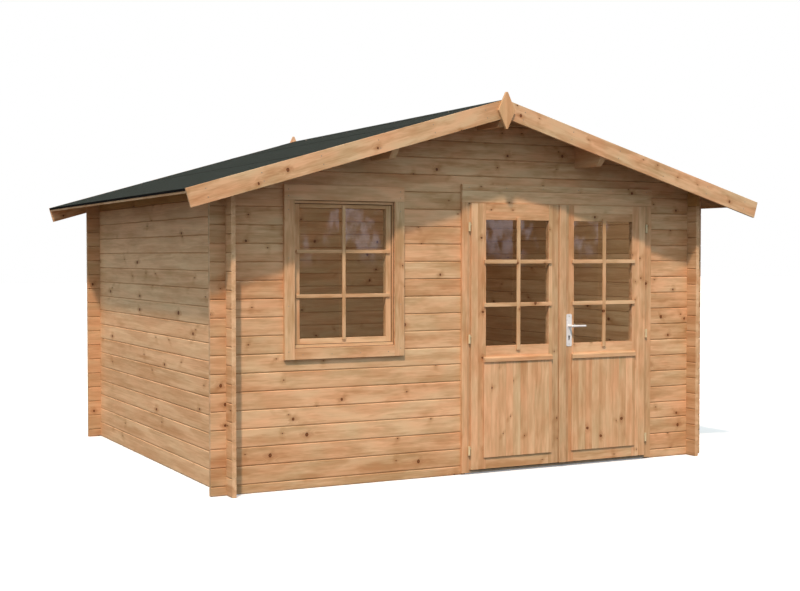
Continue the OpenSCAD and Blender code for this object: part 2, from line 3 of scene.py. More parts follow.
import bpy
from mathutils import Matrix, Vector


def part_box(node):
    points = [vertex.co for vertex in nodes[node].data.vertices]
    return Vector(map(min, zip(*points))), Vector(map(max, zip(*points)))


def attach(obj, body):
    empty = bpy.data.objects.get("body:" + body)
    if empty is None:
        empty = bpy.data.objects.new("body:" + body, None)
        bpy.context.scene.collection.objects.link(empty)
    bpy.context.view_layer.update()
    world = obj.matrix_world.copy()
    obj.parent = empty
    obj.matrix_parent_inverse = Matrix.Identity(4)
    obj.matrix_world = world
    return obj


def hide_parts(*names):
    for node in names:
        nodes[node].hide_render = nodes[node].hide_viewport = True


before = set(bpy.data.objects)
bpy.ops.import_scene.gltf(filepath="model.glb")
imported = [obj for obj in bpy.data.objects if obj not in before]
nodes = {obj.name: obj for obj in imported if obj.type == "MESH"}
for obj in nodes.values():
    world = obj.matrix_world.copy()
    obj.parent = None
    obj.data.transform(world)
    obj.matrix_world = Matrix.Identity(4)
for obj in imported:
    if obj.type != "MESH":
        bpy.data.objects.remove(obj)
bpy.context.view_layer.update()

# Sizes in metres that the added pieces share with the CAD model
LOG_PITCH = 0.114
HALF_LOG = LOG_PITCH / 2
TOP_LOG_Z = 16 * LOG_PITCH
SLOPE = math.radians(16.2)
RIDGE_Z = 2.4531
DECK_T = 0.018
DECK_BOARDS = 37
ROOF_TOP = 0.0223
PANEL_LAMELLA = 0.058
HINGE_STILE_W = 0.113
PANE_W = 0.505
LEAF_GAP = 0.006
HINGE_Z = (0.159, 0.908, 1.658)
HINGE_ROOM = 0.032
SEAT = 0.0003

# Openings inside the window's trim, frame and sash
TRIM_HOLE_X = (-1.353, -0.653)
TRIM_HOLE_Z = (0.885, 1.812)
FRAME_HOLE_Z = (0.9052, 1.7928)
SASH_HOLE_X = (-1.3056, -0.7004)

# Where the leaves' uprights and top rails are glued up from two boards
LEFT_GLUE_X = (-0.036, 0.561)
RIGHT_GLUE_X = (0.697, 1.305)
RAIL_GLUE_Z = (1.76,)

# Bands along the lines where logs lie on each other, as distances from the joint at which each fades out and in:
# painted shade in the joint and on each log's lower edge, a painted highlight on each log's upper edge, and the lips
# whose normals turn
JOINT_SHADE_BAND = (0.0014, 0.0006)
LOWER_EDGE_SHADE_BAND = (0.0058, 0.0034)
UPPER_EDGE_HIGHLIGHT_BAND = (0.0056, 0.0040)
LIP_BELOW = (0.0090, 0.0070)
LIP_ABOVE = (0.0075, 0.0060)

# A length past every end of the part, and one that puts a face clearly on one side of a border
FAR = 9.0
HAIR = 0.0001

# Pale and deep wood colours, linear
TONES = {
    "front": ((0.83, 0.568, 0.350, 1.0), (0.53, 0.298, 0.143, 1.0)),
    "front_left": ((0.79, 0.528, 0.320, 1.0), (0.505, 0.277, 0.131, 1.0)),
    # The side walls' tones are a little paler than the front's, painted light on the side walls
    "side": ((0.865, 0.592, 0.362, 1.0), (0.555, 0.312, 0.149, 1.0)),
    "purlin": ((0.72, 0.49, 0.30, 1.0), (0.58, 0.35, 0.185, 1.0)),
    # The roof boards' tones are dark, painted shade for their undersides under the roof
    "deck": ((0.48, 0.290, 0.140, 1.0), (0.34, 0.182, 0.078, 1.0)),
    "barge": ((0.755, 0.511, 0.314, 1.0), (0.510, 0.287, 0.138, 1.0)),
    "front_finial": ((0.75, 0.455, 0.250, 1.0), (0.485, 0.245, 0.108, 1.0)),
    "back_finial": ((0.86, 0.640, 0.440, 1.0), (0.60, 0.390, 0.240, 1.0)),
    # The drips' pale tone is dimmed, painted shade that tones down their lit tops
    "drip": ((0.74, 0.49, 0.295, 1.0), (0.53, 0.298, 0.143, 1.0)),
    # Near-black brown for strips of painted shade round the window
    "bead": ((0.150, 0.085, 0.048, 1.0), (0.100, 0.055, 0.032, 1.0)),
}
KNOT_DARK = (0.080, 0.023, 0.007, 1.0)
KNOT_RED = (0.270, 0.088, 0.028, 1.0)
KNOT_HALO = (0.40, 0.165, 0.060, 1.0)
# Painted shade in the joints between logs, and a painted highlight along these joints on end faces
JOINT_SHADE = (0.085, 0.036, 0.013, 1.0)
JOINT_BROWN = (0.20, 0.10, 0.045, 1.0)
END_JOINT_HIGHLIGHT = (0.80, 0.56, 0.34, 1.0)
WHITE = (1.0, 1.0, 1.0, 1.0)


def grey(share):
    """A tint that darkens all colours alike."""
    return share, share, share


class Tree:
    """Short calls that add nodes to one node tree."""

    def __init__(self, tree):
        self.tree = tree

    def put(self, socket, value):
        if isinstance(value, bpy.types.NodeSocket):
            self.tree.links.new(value, socket)
        else:
            socket.default_value = value

    def add(self, kind, settings=None, **values):
        node = self.tree.nodes.new("ShaderNode" + kind)
        for name, value in (settings or {}).items():
            setattr(node, name, value)
        for name, value in values.items():
            self.put(node.inputs[name.replace("_", " ")], value)
        return node

    def math(self, operation, *values, clamp=False):
        node = self.add("Math", {"operation": operation, "use_clamp": clamp})
        for socket, value in zip(node.inputs, values):
            self.put(socket, value)
        return node.outputs[0]

    def total(self, *values):
        result = values[0]
        for value in values[1:]:
            result = self.math("ADD", result, value)
        return result

    def less(self, a, b):
        return self.math("SUBTRACT", a, b)

    def times(self, a, b):
        return self.math("MULTIPLY", a, b)

    def length(self, a, b):
        return self.math("SQRT", self.total(self.times(a, a), self.times(b, b)))

    def mix(self, share, a, b, kind="MIX"):
        node = self.add("Mix", {"data_type": "RGBA", "blend_type": kind})
        for index, value in ((0, share), (6, a), (7, b)):
            self.put(node.inputs[index], value)
        return node.outputs[2]

    def lerp(self, share, a, b):
        node = self.add("Mix", {"data_type": "FLOAT"})
        for index, value in ((0, share), (2, a), (3, b)):
            self.put(node.inputs[index], value)
        return node.outputs[0]

    def span(self, value, low, high, to_low=0.0, to_high=1.0, smooth=False):
        node = self.add("MapRange", {"interpolation_type": "SMOOTHSTEP" if smooth else "LINEAR"})
        for index, item in enumerate((value, low, high, to_low, to_high)):
            self.put(node.inputs[index], item)
        return node.outputs[0]

    def vector(self, x, y, z=0.0):
        return self.add("CombineXYZ", X=x, Y=y, Z=z).outputs[0]

    def split(self, vector):
        return self.add("SeparateXYZ", Vector=vector).outputs

    def split_colour(self, colour):
        return self.add("SeparateColor", Color=colour).outputs

    def noise(self, vector, scale=1.0, detail=2.0, roughness=0.5):
        return self.add("TexNoise", Vector=vector, Scale=scale, Detail=detail, Roughness=roughness).outputs[0]

    def chances(self, number):
        """Three chances from 0 to 1 that go with a number."""
        node = self.add("TexWhiteNoise", {"noise_dimensions": "1D"}, W=number)
        return self.split_colour(node.outputs["Color"])


def new_group(name, inputs, outputs):
    group = bpy.data.node_groups.new(name, "ShaderNodeTree")
    for way, sockets in (("INPUT", inputs), ("OUTPUT", outputs)):
        for label, kind in sockets:
            group.interface.new_socket(name=label, in_out=way, socket_type="NodeSocket" + kind)
    return group, group.nodes.new("NodeGroupInput").outputs, group.nodes.new("NodeGroupOutput").inputs


def wood_group():
    """Softwood in board coordinates: U along the grain, V across the face, W into the board."""
    group, src, out = new_group(
        "softwood",
        [(label, "Float") for label in ("U", "V", "W", "Board", "End", "Knots", "Blotch", "Spread", "Hue")]
        + [("Pale", "Color"), ("Deep", "Color")],
        [("Color", "Color"), ("Roughness", "Float"), ("Height", "Float")])
    t = Tree(group)
    luck = t.chances(src["Board"])
    more = t.chances(t.math("ADD", src["Board"], 0.37))
    u = t.math("ADD", src["U"], t.times(luck[2], 53.0))
    v, w = src["V"], src["W"]

    def field(along, across, detail=2.0, roughness=0.5):
        """Noise about zero, with its counts per metre along and across the grain."""
        spot = t.vector(t.times(u, along), t.times(v, across), t.times(w, across))
        return t.less(t.noise(spot, 1.0, detail, roughness), 0.5)

    # Knots: one chance in each cell of a loose net over the face
    net = 6.5
    cells = t.add("TexVoronoi", {"voronoi_dimensions": "2D"}, Vector=t.vector(u, v), Scale=net)
    middle = t.split(cells.outputs["Position"])
    draw = t.split_colour(cells.outputs["Color"])
    du, dv = t.less(u, middle[0]), t.less(v, middle[1])
    away = t.math("ADD", t.length(du, t.times(dv, 0.85)), t.times(field(75.0, 75.0, 1.0), 0.006))
    has_knot = t.math("LESS_THAN", draw[0], t.times(src["Knots"], t.less(1.0, src["End"])))
    radius = t.span(t.math("POWER", draw[1], 3.6), 0.0, 1.0, 0.0038, 0.0120)

    def near(distance, start, end):
        return t.times(has_knot, t.span(distance, t.times(radius, start), t.times(radius, end), smooth=True))

    knot = near(away, 1.0, 0.82)
    heart = t.times(near(away, 0.80, 0.35), t.span(radius, 0.005, 0.009))
    halo = near(t.length(t.times(du, 0.38), dv), 2.2, 0.8)
    swirl = near(away, 6.0, 0.0)

    # A darker band that leans across the grain at a knot
    lean = t.math("ADD", du, t.times(dv, t.span(draw[2], 0.0, 1.0, -0.8, 0.8)))
    lean = t.math("ABSOLUTE", t.math("ADD", lean, t.times(field(9.0, 30.0), 0.05)))
    band = t.times(t.times(has_knot, t.span(lean, 0.030, 0.0, smooth=True)),
                   t.span(t.math("ABSOLUTE", dv), 0.065, 0.010, smooth=True))

    # Year rings round a pith behind the face, pulled about along the grain
    side = t.total(v, t.times(t.less(luck[0], 0.5), 0.06), t.times(field(0.55, 0.0, 1.0), 0.10))
    depth = t.math("ADD", w, t.span(more[0], 0.0, 1.0, 0.022, 0.075))
    phase = t.total(t.times(t.length(side, depth), t.span(more[1], 0.0, 1.0, 200.0, 320.0)),
                    t.times(field(1.4, 11.0), 5.0), t.times(field(3.6, 36.0, 1.0), 1.8), t.times(swirl, 2.2))
    year = t.math("FRACT", phase)
    ring = t.times(t.span(year, 0.2, 0.9, smooth=True), t.span(year, 1.0, 0.93, smooth=True))
    streak = field(1.6, 30.0, 3.0, 0.6)
    patch = t.total(t.span(field(3.2, 16.0, 3.0, 0.6), -0.10, 0.10, -0.22, 0.22, smooth=True),
                    t.times(field(1.8, 8.0, 1.0), 0.8), t.times(field(9.0, 32.0, 2.0), 0.6))
    stain = field(3.4, 10.0, 2.0)
    fibre = field(12.0, 420.0, 1.0)

    share = t.total(t.times(ring, 0.20), t.times(streak, 1.1), t.times(patch, src["Blotch"]), t.times(fibre, 0.45),
                    t.times(t.times(t.less(luck[1], 0.5), src["Spread"]), 0.42), t.times(band, 0.30))
    colour = t.mix(t.math("ADD", share, 0.37, clamp=True), src["Pale"], src["Deep"])
    warm = t.math("ADD", t.times(t.times(t.less(luck[0], 0.5), src["Spread"]), 0.50),
                  t.times(t.span(stain, -0.15, 0.15, -0.5, 0.5), 0.62))
    warm = t.math("MULTIPLY_ADD", warm, src["Hue"], 0.50, clamp=True)
    tint = t.mix(warm, (0.935, 1.03, 1.015, 1.0), (1.08, 0.94, 0.88, 1.0))
    colour = t.mix(1.0, colour, tint, "MULTIPLY")
    colour = t.mix(t.times(halo, 0.40), colour, KNOT_HALO)
    colour = t.mix(t.times(knot, 0.96), colour, t.mix(t.times(heart, 0.85), KNOT_DARK, KNOT_RED))
    colour = t.mix(t.times(src["End"], 0.7), colour, t.mix(1.0, colour, (0.985, 1.0, 1.04, 1.0), "MULTIPLY"))
    t.put(out["Color"], colour)
    t.put(out["Roughness"], t.total(t.times(ring, -0.08), t.times(fibre, 0.2), 0.62))
    t.put(out["Height"], t.total(t.times(ring, 0.40), t.times(fibre, 0.7), t.times(streak, 0.5), t.times(knot, 0.6)))
    return group


SOFTWOOD = wood_group()


def new_material(name):
    material = bpy.data.materials.new(name)
    material.use_nodes = True
    material.node_tree.nodes.clear()
    t = Tree(material.node_tree)
    surface = t.add("BsdfPrincipled")
    t.put(t.add("OutputMaterial").inputs["Surface"], surface.outputs[0])
    return material, t, surface


def centre(name):
    low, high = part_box(name)
    return (Vector(low) + Vector(high)) / 2


def along(axis, name, step=None, stretch=1.0):
    """Grain along one axis for a CAD node. step is (axis, pitch, start) for a row of boards, and a stretch
    under 1 draws the figure out along the grain."""
    order = {"X": (0, 2, 1), "Y": (1, 2, 0), "Z": (2, 0, 1)}[axis]
    across, into = centre(name)[order[1]], centre(name)[order[2]]

    def grain(t, place, normal):
        u, v, w = (place[i] for i in order)
        number, middle = 0.0, across
        if step:
            index, (pitch, start) = "XYZ".index(step[0]), step[1:]
            number = t.math("FLOOR", t.math("DIVIDE", t.less(place[index], start), pitch))
            if index == order[1]:
                middle = t.math("MULTIPLY_ADD", number, pitch, start + pitch / 2)
        return t.times(u, stretch), t.less(v, middle), t.less(w, into), t.math("ABSOLUTE", normal[order[0]]), number

    return grain


def on_slope(side, name, step=None):
    """Grain up one side of the roof for a CAD node."""
    rise, run = side * math.sin(SLOPE), math.cos(SLOPE)
    spot = centre(name)

    def grain(t, place, normal):
        u = t.less(t.times(place[0], run), t.times(place[2], rise))
        v = t.less(t.math("ADD", t.times(place[0], rise), t.times(place[2], run)), spot.x * rise + spot.z * run)
        end = t.less(t.times(normal[0], run), t.times(normal[2], rise))
        number = 0.0
        if step:
            number = t.math("FLOOR", t.math("DIVIDE", t.less(place[1], step[1]), step[0]))
            return u, t.less(place[1], spot.y), v, t.math("ABSOLUTE", end), number
        return u, v, t.less(place[1], spot.y), t.math("ABSOLUTE", end), number

    return grain


def framed(name, x0, x1, z0=-FAR, z1=FAR, pitch=0.65, glue_x=(), glue_z=()):
    """Grain of a frame: level boards between x0 and x1 or outside z0 to z1, and uprights elsewhere.
    glue_x and glue_z are the places where uprights and level boards are glued up from two."""
    spot = centre(name)

    def passed(t, value, places):
        return t.total(0.0, *(t.math("GREATER_THAN", value, place) for place in places))

    def grain(t, place, normal):
        inside = t.times(t.math("GREATER_THAN", place[0], x0), t.math("LESS_THAN", place[0], x1))
        outside = t.math("ADD", t.math("LESS_THAN", place[2], z0), t.math("GREATER_THAN", place[2], z1))
        level = t.math("MAXIMUM", inside, outside)
        floor = t.math("FLOOR", t.math("DIVIDE", place[2], pitch))
        right = t.math("GREATER_THAN", place[0], spot.x)
        u = t.lerp(level, place[2], place[0])
        v = t.lerp(level, t.less(place[0], t.lerp(right, x0, x1)), t.less(place[2], t.times(floor, pitch)))
        end = t.lerp(level, t.math("ABSOLUTE", normal[2]), t.math("ABSOLUTE", normal[0]))
        upright = t.math("ADD", right, t.times(passed(t, place[0], glue_x), 10.0))
        across = t.total(floor, 4.0, t.times(passed(t, place[2], glue_z), 10.0))
        return u, v, t.less(place[1], spot.y), end, t.lerp(level, upright, across)

    return grain


def wood(name, grain, seed, knots=0.40, bed=None, joint=None, bump=0.35, tones="front", blotch=0.85, spread=1.0,
         hue=0.9, shades=()):
    """A softwood material. The seed picks its boards, knots is the chance of a knot in each cell, and blotch, spread
    and hue say how much patches, boards and warmth differ. bed is (pitch, start, depth, turn) of log courses, with
    the depth of the painted shade and highlight along the joints between them and how far its lip turns down. joint
    is (axis, pitch, start) of flush boards, and shades lists (axis, low, high, tint) of strips in another tone or
    with painted shade."""
    material, t, surface = new_material(name)
    spot = t.add("TexCoord")
    place = t.split(spot.outputs["Object"])
    u, v, w, end, number = grain(t, place, t.split(spot.outputs["Normal"]))
    board = t.math("ADD", number, seed) if isinstance(number, bpy.types.NodeSocket) else number + seed
    group = t.tree.nodes.new("ShaderNodeGroup")
    group.node_tree = SOFTWOOD
    pale, deep = TONES[tones]
    for label, value in (("U", u), ("V", v), ("W", w), ("Board", board), ("End", t.span(end, 0.6, 0.9)),
                         ("Knots", knots), ("Blotch", blotch), ("Spread", spread), ("Hue", hue),
                         ("Pale", pale), ("Deep", deep)):
        t.put(group.inputs[label], value)
    colour, height = group.outputs["Color"], group.outputs["Height"]
    if bed:
        pitch, start, depth, turn = bed
        side = t.times(t.span(end, 0.9, 0.6), depth)
        rise = t.times(t.math("FRACT", t.math("DIVIDE", t.less(place[2], start), pitch)), pitch)
        # Painted shade on each log's lower edge and in the joint, and a painted highlight on each log's upper edge
        lower_edge_shade = t.span(rise, *LOWER_EDGE_SHADE_BAND)
        joint_shade = t.span(t.less(pitch / 2, t.math("ABSOLUTE", t.less(rise, pitch / 2))), *JOINT_SHADE_BAND)
        upper_edge_highlight = t.span(rise, pitch - UPPER_EDGE_HIGHLIGHT_BAND[0], pitch - UPPER_EDGE_HIGHLIGHT_BAND[1])
        edge = t.mix(upper_edge_highlight, WHITE, (1.24, 1.24, 1.22, 1.0))
        edge = t.mix(lower_edge_shade, edge, (0.68, 0.56, 0.46, 1.0))
        colour = t.mix(side, colour, t.mix(1.0, colour, edge, "MULTIPLY"))
        colour = t.mix(t.times(t.times(joint_shade, 0.62), side), colour, JOINT_SHADE)
        # A painted highlight along the joints on end faces
        colour = t.mix(t.times(joint_shade, t.span(end, 0.6, 0.9, 0.0, 0.7)), colour, END_JOINT_HIGHLIGHT)
        lift = t.less(t.times(t.span(rise, pitch - LIP_ABOVE[0], pitch - LIP_ABOVE[1]), 0.20),
                      t.times(t.span(rise, *LIP_BELOW), turn))
        lift = t.vector(0.0, 0.0, t.times(lift, t.span(end, 0.9, 0.6)))
        turned = t.add("VectorMath", {"operation": "ADD"})
        t.put(turned.inputs[0], t.add("NewGeometry").outputs["Normal"])
        t.put(turned.inputs[1], lift)
        facing = t.add("VectorMath", {"operation": "NORMALIZE"}, Vector=turned.outputs[0]).outputs[0]
    if joint:
        axis, pitch, start = joint
        ratio = t.math("DIVIDE", t.less(place["XYZ".index(axis)], start), pitch)
        edge = t.math("ABSOLUTE", t.less(t.math("FRACT", ratio), 0.5))
        line = t.span(edge, 0.5 - 0.0011 / pitch, 0.5 - 0.0004 / pitch)
        colour = t.mix(t.times(line, 0.22), colour, JOINT_BROWN)
        height = t.less(height, t.times(line, 0.8))
    for axis, low, high, tint in shades:
        here = place["XYZ".index(axis)]
        inside = t.times(t.math("GREATER_THAN", here, low), t.math("LESS_THAN", here, high))
        colour = t.mix(inside, colour, t.mix(1.0, colour, (*tint, 1.0), "MULTIPLY"))
    t.put(surface.inputs["Base Color"], colour)
    t.put(surface.inputs["Roughness"], group.outputs["Roughness"])
    surface.inputs["Specular IOR Level"].default_value = 0.30
    relief = t.add("Bump", Strength=bump, Distance=0.0006, Height=height)
    if bed:
        t.put(relief.inputs["Normal"], facing)
    t.put(surface.inputs["Normal"], relief.outputs[0])
    return material


def felt_material():
    """Mineral-faced felt, near black on its upright cut and folded edges as painted shade."""
    material, t, surface = new_material("mineral_felt")
    coords = t.add("TexCoord")
    spot = coords.outputs["Object"]
    grit = t.add("TexVoronoi", Vector=spot, Scale=620.0)
    chance = t.split_colour(grit.outputs["Color"])
    cloud = t.noise(spot, 2.3, 3.0)
    colour = t.mix(chance[0], (0.0145, 0.0230, 0.0185, 1.0), (0.036, 0.050, 0.041, 1.0))
    colour = t.mix(t.times(t.span(cloud, 0.35, 0.7), 0.30), colour, (0.031, 0.034, 0.029, 1.0))
    normal = t.split(coords.outputs["Normal"])
    # Painted shade: the felt's upright cut and folded edges are near black
    edge = t.math("MAXIMUM", t.math("ABSOLUTE", normal[0]), t.math("ABSOLUTE", normal[1]))
    colour = t.mix(t.span(edge, 0.55, 0.75), colour, (0.006, 0.006, 0.006, 1.0))
    t.put(surface.inputs["Base Color"], colour)
    surface.inputs["Roughness"].default_value = 0.92
    surface.inputs["Specular IOR Level"].default_value = 0.20
    height = t.math("ADD", grit.outputs["Distance"], t.times(t.noise(spot, 6.0, 2.0), 2.0))
    t.put(surface.inputs["Normal"], t.add("Bump", Strength=0.5, Distance=0.0012, Height=height).outputs[0])
    return material


def metal(name, colour, roughness, brush_axis=None, bump=0.12, metallic=1.0, wear=0.25):
    material, t, surface = new_material(name)
    spot = t.add("TexCoord").outputs["Object"]
    stretch = [900.0, 900.0, 900.0]
    if brush_axis:
        stretch["XYZ".index(brush_axis)] = 25.0
    brushed = t.noise(t.add("Mapping", Vector=spot, Scale=tuple(stretch)).outputs[0], 1.0, 2.0)
    worn = t.noise(spot, 35.0, 3.0)
    dull = tuple(c * (1 - wear) for c in colour[:3]) + (1.0,)
    t.put(surface.inputs["Base Color"], t.mix(t.span(worn, 0.42, 0.72), colour, dull))
    surface.inputs["Metallic"].default_value = metallic
    t.put(surface.inputs["Roughness"], t.span(worn, 0.3, 0.7, roughness - 0.06, roughness + 0.10))
    t.put(surface.inputs["Normal"], t.add("Bump", Strength=bump, Distance=0.0003, Height=brushed).outputs[0])
    return material


def glass_material():
    """Float glass as a thin sheet: clear to light, with the mirror of both faces where a ray enters it."""
    material, t, surface = new_material("float_glass")
    surface.inputs["Base Color"].default_value = WHITE
    surface.inputs["Metallic"].default_value = 1.0
    surface.inputs["Roughness"].default_value = 0.012
    wave = t.noise(t.add("TexCoord").outputs["Object"], 3.0, 1.0)
    t.put(surface.inputs["Normal"], t.add("Bump", Strength=0.012, Distance=0.002, Height=wave).outputs[0])
    clear = t.add("BsdfTransparent", Color=(0.90, 0.91, 0.90, 1.0))
    rays = t.add("LightPath").outputs
    seen = t.less(1.0, t.math("MAXIMUM", rays["Is Shadow Ray"], rays["Is Diffuse Ray"]))
    enters = t.times(seen, t.less(1.0, t.add("NewGeometry").outputs["Backfacing"]))
    once = t.add("Fresnel", IOR=1.50).outputs[0]
    both = t.math("DIVIDE", t.times(once, 2.0), t.math("ADD", once, 1.0))
    blend = t.add("MixShader")
    for index, item in enumerate((t.times(both, enters), clear.outputs[0], surface.outputs[0])):
        t.put(blend.inputs[index], item)
    output = next(n for n in t.tree.nodes if n.type == "OUTPUT_MATERIAL")
    t.put(output.inputs["Surface"], blend.outputs[0])
    return material


def dress(material, *names):
    for name in names:
        for slot in nodes[name].material_slots:
            slot.material = material


def round_edges(item, width):
    edge = item.modifiers.new("edge", "BEVEL")
    edge.width = width
    edge.segments = 2
    edge.limit_method = "ANGLE"
    edge.angle_limit = math.radians(35.0)
    edge.harden_normals = True


def soften(width, *names):
    """Rounds the sharp edges of CAD nodes in the picture only."""
    for name in names:
        weld = nodes[name].modifiers.new("weld", "WELD")
        weld.merge_threshold = 1e-5
        flat = nodes[name].modifiers.new("flat", "DECIMATE")
        flat.decimate_type = "DISSOLVE"
        flat.angle_limit = math.radians(1.0)
        round_edges(nodes[name], width)


def new_piece(name, verts, faces, material, body, slot, bevel=0.0):
    mesh = bpy.data.meshes.new(name)
    mesh.from_pydata([tuple(p) for p in verts], [], faces)
    mesh.validate()
    mesh.update()
    mesh.materials.append(material)
    piece = bpy.data.objects.new(name, mesh)
    bpy.context.scene.collection.objects.link(piece)
    if bevel:
        round_edges(piece, bevel)
    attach(piece, body)
    return piece


def prisms(outlines):
    """Vertices and faces of prisms, each given by two matching outlines."""
    verts, faces = [], []
    for first, second in outlines:
        base, count = len(verts), len(first)
        verts += list(first) + list(second)
        faces.append(tuple(base + i for i in range(count)))
        faces.append(tuple(base + count + i for i in reversed(range(count))))
        faces += [(base + (i + 1) % count, base + i, base + count + i, base + count + (i + 1) % count)
                  for i in range(count)]
    return verts, faces


def boxes(spans):
    """Vertices and faces of boxes given by their low and high corners."""
    outlines = []
    for (x0, y0, z0), (x1, y1, z1) in spans:
        corners = ((x0, y0), (x0, y1), (x1, y1), (x1, y0))
        outlines.append(([(x, y, z0) for x, y in corners], [(x, y, z1) for x, y in corners]))
    return prisms(outlines)


def studs(spots, out, radius, height, sunk=0.0004, sides=12):
    """Low round heads on a surface, standing out along one direction."""
    out = Vector(out).normalized()
    one = out.orthogonal().normalized()
    two = out.cross(one)
    outlines = []
    for spot in spots:
        rings = []
        for reach, size in ((-sunk, radius), (height, radius * 0.78)):
            turns = [2 * math.pi * i / sides for i in reversed(range(sides))]
            rings.append([Vector(spot) + out * reach + one * size * math.cos(a) + two * size * math.sin(a)
                          for a in turns])
        outlines.append(tuple(rings))
    return prisms(outlines)


# Places on the CAD nodes
wall_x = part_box("right_wall")[1].x
wall_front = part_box("front_wall_middle")[0].y
log_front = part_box("left_wall")[0].y
sash_low, sash_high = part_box("window_sash")
leaf_low, leaf_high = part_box("left_leaf_frame")
left_pane_x = leaf_low.x + HINGE_STILE_W
right_pane_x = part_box("right_leaf_frame")[1].x - HINGE_STILE_W - PANE_W

# Materials of the walls
# Painted shade on the top log, darker and warmer under the eave
eave_painted_shade = ("Z", TOP_LOG_Z, FAR, (0.74, 0.68, 0.46))
past_front = ("Y", log_front + 0.0005, wall_front - 0.001, grey(0.90))
past_left = ("X", -FAR, -wall_x - 0.001, grey(0.90))
past_right = ("X", wall_x + 0.001, FAR, grey(0.95))
for index, name in enumerate(("left_wall", "right_wall")):
    grain = along("Y", name, ("Z", LOG_PITCH, 0.0), 0.55)
    dress(wood("logs_" + name, grain, seed=11.0 + 40 * index, bed=(LOG_PITCH, 0.0, 0.50, 0.22), tones="side",
               blotch=0.75, spread=0.6, hue=0.45, shades=(eave_painted_shade, past_front)), name)
for index, (name, tones, depth, turn, spread, blotch, past) in enumerate((
        ("front_wall_below_window", "front", 0.20, 0.36, 0.85, 0.85, past_left),
        ("front_wall_left", "front_left", 0.20, 0.36, 0.85, 0.85, past_left),
        ("front_wall_middle", "front", 0.20, 0.36, 0.85, 0.85, past_left),
        ("front_wall_right", "front", 0.20, 0.36, 0.85, 0.85, past_right),
        ("front_gable", "front", 0.25, 0.30, 0.80, 0.85, past_left),
        ("back_wall", "front", 0.45, 0.20, 0.35, 0.50, past_left))):
    grain = along("X", name, ("Z", LOG_PITCH, HALF_LOG))
    dress(wood("logs_" + name, grain, seed=104.0 + 37 * index, knots=0.42, bed=(LOG_PITCH, HALF_LOG, depth, turn),
               tones=tones, blotch=blotch, spread=spread, shades=(past,)), name)

# Materials of the roof's timber
for index, name in enumerate(("ridge_purlin", "side_purlins")):
    grain = along("Y", name, ("X", 0.4, -0.2))
    dress(wood("wood_" + name, grain, seed=401.0 + 9 * index, knots=0.25, tones="purlin"), name)
for index, (name, side) in enumerate((("front_left_barge", -1), ("front_right_barge", 1),
                                      ("back_left_barge", -1), ("back_right_barge", 1))):
    dress(wood("board_" + name, on_slope(side, name), seed=431.0 + 3 * index, knots=0.50, tones="barge",
               blotch=1.3, hue=1.3), name)
for index, name in enumerate(("left_eave_batten", "right_eave_batten")):
    dress(wood("wood_" + name, along("Y", name), seed=451.0 + index), name)
for index, name in enumerate(("front_finial", "back_finial")):
    dress(wood("wood_" + name, along("Z", name), seed=461.0 + index, knots=0.1, tones=name), name)

# Materials of the window and the doors
grain = framed("window_trim", *TRIM_HOLE_X, z1=TRIM_HOLE_Z[1], pitch=1.0)
dress(wood("window_trim_wood", grain, seed=471.0), "window_trim")
grain = framed("window_frame", FAR, -FAR, *FRAME_HOLE_Z, pitch=1.0)
dress(wood("window_frame_wood", grain, seed=491.0, knots=0.2), "window_frame")
grain = framed("window_sash", *SASH_HOLE_X, pitch=1.0)
dress(wood("window_sash_wood", grain, seed=511.0, knots=0.15), "window_sash")
meeting = ("X", LEFT_GLUE_X[1], RIGHT_GLUE_X[0], grey(0.88))
# Painted shade on the jambs in a strip beside each leaf
for index, (name, axis, shades) in enumerate((
        ("door_left_jamb", "Z", [("X", -0.111, -0.080, grey(0.86))]),
        ("door_right_jamb", "Z", [("X", 1.360, 1.385, grey(0.90))]),
        ("door_head", "X", []), ("door_cover_board", "X", []), ("meeting_strip", "Z", [meeting]))):
    dress(wood("wood_" + name, along(axis, name), seed=531.0 + 2 * index, knots=0.42, shades=shades), name)
for name, pane_x, seed, glue_x in (("left_leaf", left_pane_x, 551.0, LEFT_GLUE_X),
                                   ("right_leaf", right_pane_x, 571.0, RIGHT_GLUE_X)):
    grain = framed(name + "_frame", pane_x - HAIR, pane_x + PANE_W + HAIR, glue_x=glue_x, glue_z=RAIL_GLUE_Z)
    dress(wood("stiles_" + name, grain, seed, knots=0.36, shades=[meeting]), name + "_frame")
    grain = along("X", name + "_drip")
    dress(wood("wood_" + name + "_drip", grain, seed + 13, knots=0.1, tones="drip"), name + "_drip")
    boards = ("X", PANEL_LAMELLA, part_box(name + "_panel")[0].x)
    grain = along("Z", name + "_panel", boards)
    dress(wood("boards_" + name, grain, seed + 50, knots=0.28, joint=boards, blotch=0.7, spread=0.9), name + "_panel")

# Materials of felt, glass and metal
felt = felt_material()
dress(felt, "left_felt", "right_felt")
dress(glass_material(), "window_glass", "left_leaf_glass", "right_leaf_glass")
dress(metal("threshold_aluminium", (0.45, 0.350, 0.250, 1.0), roughness=0.45, brush_axis="X", bump=0.3,
            metallic=0.15), "door_threshold")
dress(metal("hinge_zinc", (0.84, 0.72, 0.45, 1.0), roughness=0.34, metallic=0.15, wear=0.12),
      "frame_hinges", "left_leaf_hinges", "right_leaf_hinges")
dress(metal("handle_aluminium", (0.94, 0.97, 1.0, 1.0), roughness=0.32, brush_axis="Z", bump=0.05,
            metallic=0.10, wear=0.05), "handle_plates", "door_lever")
steel = metal("screw_steel", (0.36, 0.32, 0.27, 1.0), roughness=0.42, metallic=0.6)
lock_steel = metal("lock_steel", (0.60, 0.58, 0.52, 1.0), roughness=0.30)
# Near-black metal for the painted shade of the key slots
key_slot_shade = metal("key_slot_shade", (0.012, 0.012, 0.012, 1.0), roughness=0.7, metallic=0.2)

